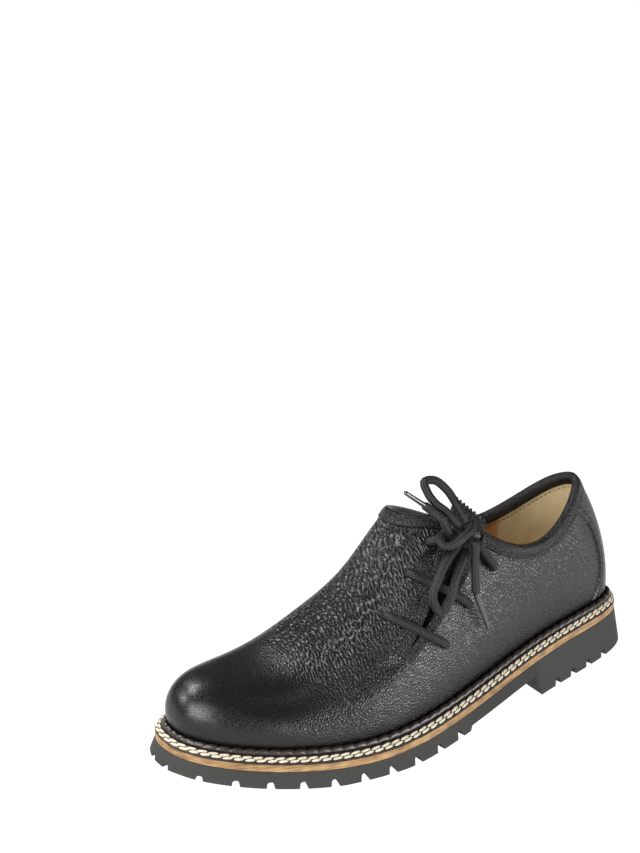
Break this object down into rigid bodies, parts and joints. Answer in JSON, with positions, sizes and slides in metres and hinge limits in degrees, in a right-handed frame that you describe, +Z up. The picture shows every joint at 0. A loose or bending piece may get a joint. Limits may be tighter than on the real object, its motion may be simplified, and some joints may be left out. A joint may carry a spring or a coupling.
{
  "type": "haferl shoe",
  "caption": "Side-laced low folk shoe with a pull-on vamp, rolled collar, welted lug sole and round laces.",
  "frame": {"origin": "on the ground under the middle of the sole's outline", "axes": "+X to the toe, +Y to the outer side of the left foot, +Z up"},
  "size_m": [0.3064, 0.1128, 0.142],
  "materials": {
    "rubber": "matte moulded rubber",
    "midsole_leather": "brown, streaked edge, waxed",
    "welt_leather": "black, stitched in cream",
    "bead_leather": "dark, waxed, shiny",
    "sock_leather": "beige suede",
    "upper_leather": "black grained, semi-gloss",
    "tongue_leather": "black",
    "lace": "round woven cord, matt",
    "aglet": "dark clear film, glossy"
  },
  "bodies": {
    "root": {"outsole": "rubber", "midsole": "midsole_leather", "welt": "welt_leather", "welt_bead": "bead_leather", "insole": "sock_leather", "upper": "upper_leather", "collar_band": "upper_leather", "heel_strap": "upper_leather", "tongue": "tongue_leather", "lace_bar_low": "lace", "lace_bar_mid": "lace", "lace_top_front": "lace", "lace_top_back": "lace", "lace_knot": "lace", "lace_loop_low": "lace", "lace_loop_high": "lace", "lace_end_low": "lace", "lace_end_high": "lace", "aglet_low": "aglet", "aglet_high": "aglet"}
  },
  "joints": []
}
